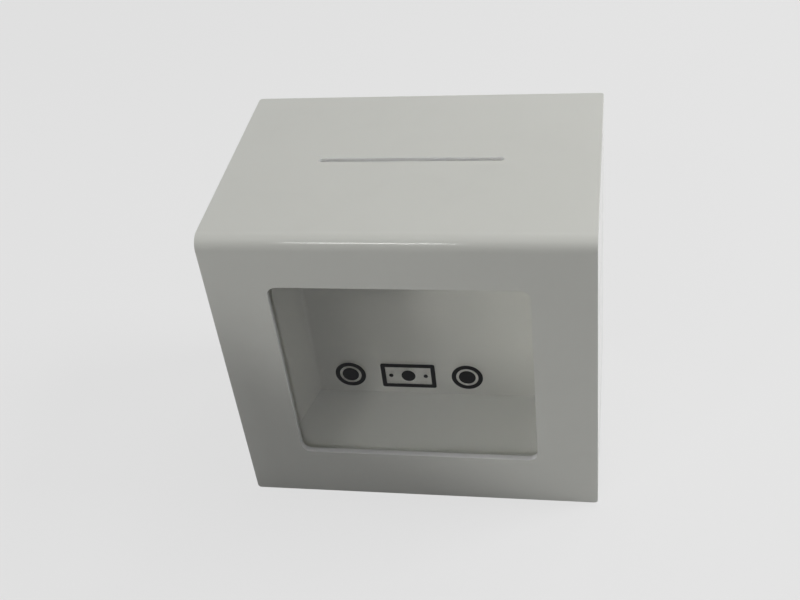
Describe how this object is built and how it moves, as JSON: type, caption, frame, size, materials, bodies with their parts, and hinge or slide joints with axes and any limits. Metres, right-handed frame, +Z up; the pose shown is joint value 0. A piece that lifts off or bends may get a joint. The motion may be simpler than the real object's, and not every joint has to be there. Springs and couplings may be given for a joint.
{
  "type": "donation box",
  "caption": "Table-top donation box of white acrylic sheet with a note and coin slot, a clear front window onto the collection chamber, and a hinged rear door with a cam lock.",
  "frame": {"origin": "middle of the flat underside, which rests on the table", "axes": "+Z up, -Y the front with the window, +X to the right of someone who faces the front"},
  "size_m": [0.3, 0.2341, 0.275],
  "materials": {
    "white_acrylic": "gloss white opal sheet, polished edges",
    "liner_acrylic": "gloss white opal sheet",
    "clear_acrylic": "clear sheet, polished",
    "black_vinyl": "satin film",
    "hinge_steel": "brushed",
    "zinc_steel": "zinc plated",
    "lock_chrome": "bright chrome on die casting",
    "key_metal": "nickel plated"
  },
  "bodies": {
    "cabinet": {"front_top_shell": "white_acrylic", "side_panel_left": "white_acrylic", "side_panel_right": "white_acrylic", "base_panel": "white_acrylic", "rear_panel": "white_acrylic", "window_pane": "clear_acrylic", "window_label": "black_vinyl", "chamber_liner": "liner_acrylic", "slot_baffle": "liner_acrylic", "door_stop_lower": "white_acrylic", "door_stop_upper": "white_acrylic", "lock_keeper": "white_acrylic", "hinge_upper_frame_leaf": "hinge_steel", "hinge_upper_pin": "zinc_steel", "hinge_lower_frame_leaf": "hinge_steel", "hinge_lower_pin": "zinc_steel", "frame_leaf_screws": "zinc_steel", "frame_leaf_nuts": "zinc_steel"},
    "door": {"rear_door": "white_acrylic", "hinge_upper_door_leaf": "hinge_steel", "hinge_lower_door_leaf": "hinge_steel", "door_leaf_screws": "zinc_steel", "door_leaf_nuts": "zinc_steel", "lock_barrel": "lock_chrome", "lock_washer": "zinc_steel", "lock_nut": "zinc_steel"},
    "lock_core": {"lock_plug": "lock_chrome", "lock_cam": "zinc_steel", "cam_screw": "zinc_steel"},
    "key": {"key": "key_metal"}
  },
  "joints": [
    {"name": "door_hinge", "type": "hinge", "parent": "cabinet", "child": "door", "pos_m": [-0.11075, 0.1079, 0.137], "axis": [0, 0, 1], "range_deg": [0, 170]},
    {"name": "lock_turn", "type": "hinge", "parent": "door", "child": "lock_core", "pos_m": [0.092, 0.1068, 0.137], "axis": [0, 1, 0], "range_deg": [-90, 0]},
    {"name": "key_pull", "type": "slide", "parent": "lock_core", "child": "key", "axis": [0, 1, 0], "range_m": [0, 0.03]}
  ]
}
